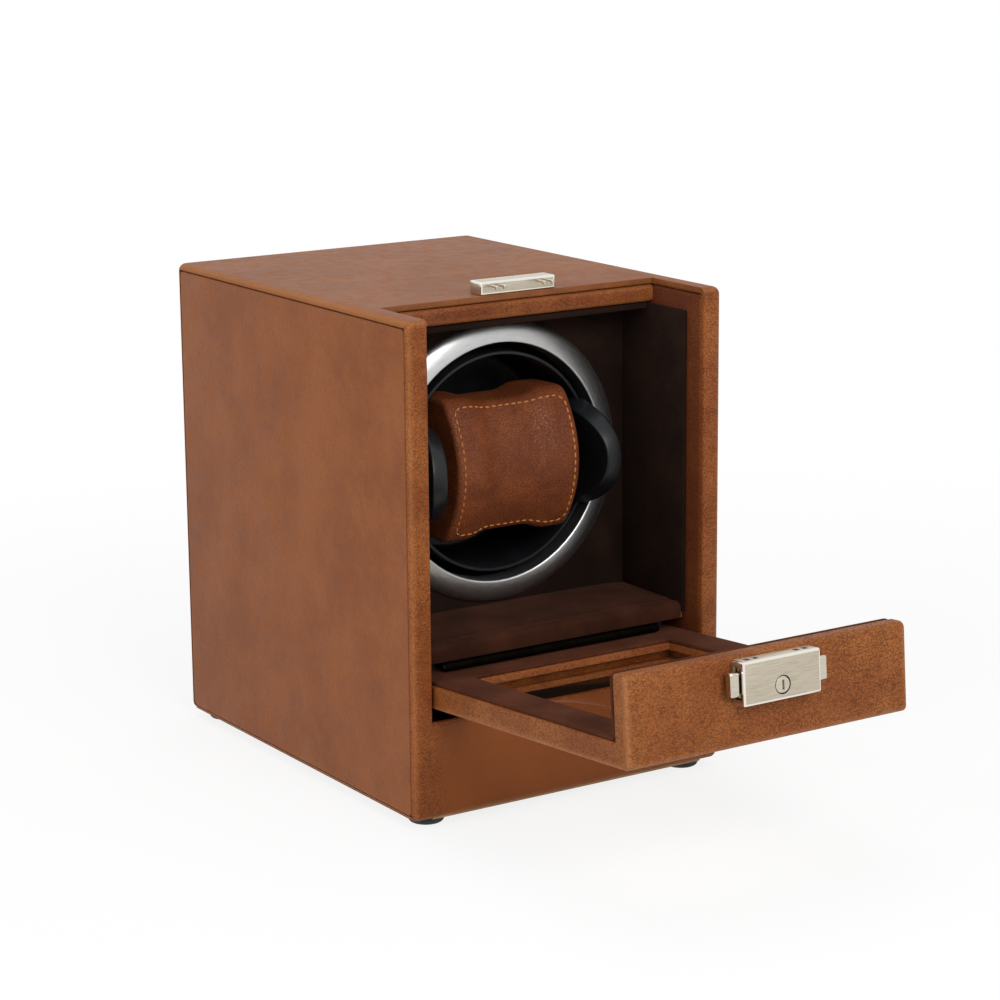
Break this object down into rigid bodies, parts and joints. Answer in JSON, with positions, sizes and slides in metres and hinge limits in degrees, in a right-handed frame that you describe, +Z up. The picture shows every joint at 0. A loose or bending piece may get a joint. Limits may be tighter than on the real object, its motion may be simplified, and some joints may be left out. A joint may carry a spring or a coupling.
{
  "type": "watch winder box",
  "caption": "Leather-wrapped watch winder box: a glazed flap door with a return lip and latch folds down in front of a turning cup with a cushion cuff, above a padded shelf.",
  "frame": {"origin": "on the floor plane under the feet, below the middle of the box's whole reach with the flap open", "axes": "+Z up, -Y out of the door opening and along the open flap, +X to the right as one looks in"},
  "size_m": [0.138, 0.3014, 0.1922],
  "materials": {
    "smooth_leather": "smooth tanned hide, satin",
    "grain_leather": "pebbled hide, satin; stands for leather wrapped over board",
    "cuff_leather": "fine-grained hide over foam",
    "suede": "brushed suede, matt",
    "fibreboard": "raw medium-density fibreboard",
    "black_plastic": "moulded, fine satin",
    "acetal": "natural white acetal",
    "circuit": "green solder mask on glass-epoxy",
    "satin_ring": "turned and satin brushed",
    "nickel": "warm brushed nickel",
    "steel": "bare steel",
    "brass": "stamped brass",
    "rubber": "matt black rubber",
    "lead_sheath": "flexible black insulation",
    "glass": "clear polished"
  },
  "bodies": {
    "cabinet": {"side_wall_left": "fibreboard", "side_leather_left": "smooth_leather", "side_lining_left": "suede", "door_stop_left": "rubber", "control_screw_left": "steel", "foot_front_left": "rubber", "foot_rear_left": "rubber", "side_wall_right": "fibreboard", "side_leather_right": "smooth_leather", "side_lining_right": "suede", "door_stop_right": "rubber", "control_screw_right": "steel", "foot_front_right": "rubber", "foot_rear_right": "rubber", "top_board": "fibreboard", "top_leather": "smooth_leather", "top_rail": "grain_leather", "bottom_board": "fibreboard", "front_board": "fibreboard", "front_leather": "grain_leather", "back_board": "fibreboard", "back_leather": "smooth_leather", "ceiling_lining": "suede", "rotor_panel": "suede", "shelf_board": "fibreboard", "shelf_pad": "suede", "hinge_leaf_shelf": "brass", "hinge_pin": "steel", "keeper": "nickel", "motor_bracket": "black_plastic", "motor": "steel", "circuit_board": "circuit", "motor_lead": "lead_sheath", "socket_lead": "lead_sheath", "control_plate": "black_plastic", "dc_socket": "black_plastic", "bezel_ring": "satin_ring", "cup_housing": "black_plastic", "rotor_bush": "brass"},
    "door": {"door_panel": "grain_leather", "door_glass": "glass", "glass_bead": "grain_leather", "door_lining": "suede", "door_lip": "grain_leather", "lip_lining": "suede", "hinge_leaf_door": "brass", "latch_body": "nickel"},
    "latch_button_left": {"latch_button_left": "nickel"},
    "latch_button_right": {"latch_button_right": "nickel"},
    "lock_barrel": {"lock_barrel": "nickel"},
    "rotor": {"rotor_cup": "black_plastic", "rotor_shaft": "steel", "driven_gear": "acetal"},
    "drive_pinion": {"pinion": "acetal", "motor_shaft": "steel"},
    "cuff": {"cuff_core": "black_plastic", "cuff_pad": "cuff_leather"},
    "mode_knob": {"mode_knob": "black_plastic"},
    "power_rocker": {"power_rocker": "black_plastic"}
  },
  "joints": [
    {"name": "door_hinge", "type": "hinge", "parent": "cabinet", "child": "door", "pos_m": [0, -0.01331, 0.056], "axis": [-1, 0, 0], "range_deg": [0, 85.7]},
    {"name": "rotor_spin", "type": "hinge", "parent": "cabinet", "child": "rotor", "pos_m": [0, 0.06, 0.12035], "axis": [0, 1, 0], "continuous": true},
    {"name": "pinion_spin", "type": "hinge", "parent": "cabinet", "child": "drive_pinion", "pos_m": [0, 0.071, 0.0942], "axis": [0, 1, 0], "continuous": true},
    {"name": "cuff_slide", "type": "slide", "parent": "rotor", "child": "cuff", "axis": [0, -1, 0], "range_m": [0, 0.016]},
    {"name": "latch_press_left", "type": "slide", "parent": "door", "child": "latch_button_left", "axis": [1, 0, 0], "range_m": [0, 0.0025], "stiffness_N_per_m": 400},
    {"name": "latch_press_right", "type": "slide", "parent": "door", "child": "latch_button_right", "axis": [-1, 0, 0], "range_m": [0, 0.0025], "stiffness_N_per_m": 400},
    {"name": "lock_turn", "type": "hinge", "parent": "door", "child": "lock_barrel", "pos_m": [0, -0.14698, 0.07477], "axis": [0, -0.9972, 0.075], "range_deg": [0, 90]},
    {"name": "mode_knob_turn", "type": "hinge", "parent": "cabinet", "child": "mode_knob", "pos_m": [0, 0.143, 0.0432], "axis": [0, 1, 0], "range_deg": [-135, 135]},
    {"name": "power_rock", "type": "hinge", "parent": "cabinet", "child": "power_rocker", "pos_m": [0.024, 0.14119, 0.0432], "axis": [1, 0, 0], "range_deg": [0, 20]}
  ],
  "couplings": [
    {"joint": "pinion_spin", "follows": "rotor_spin", "ratio": -3.3333}
  ]
}
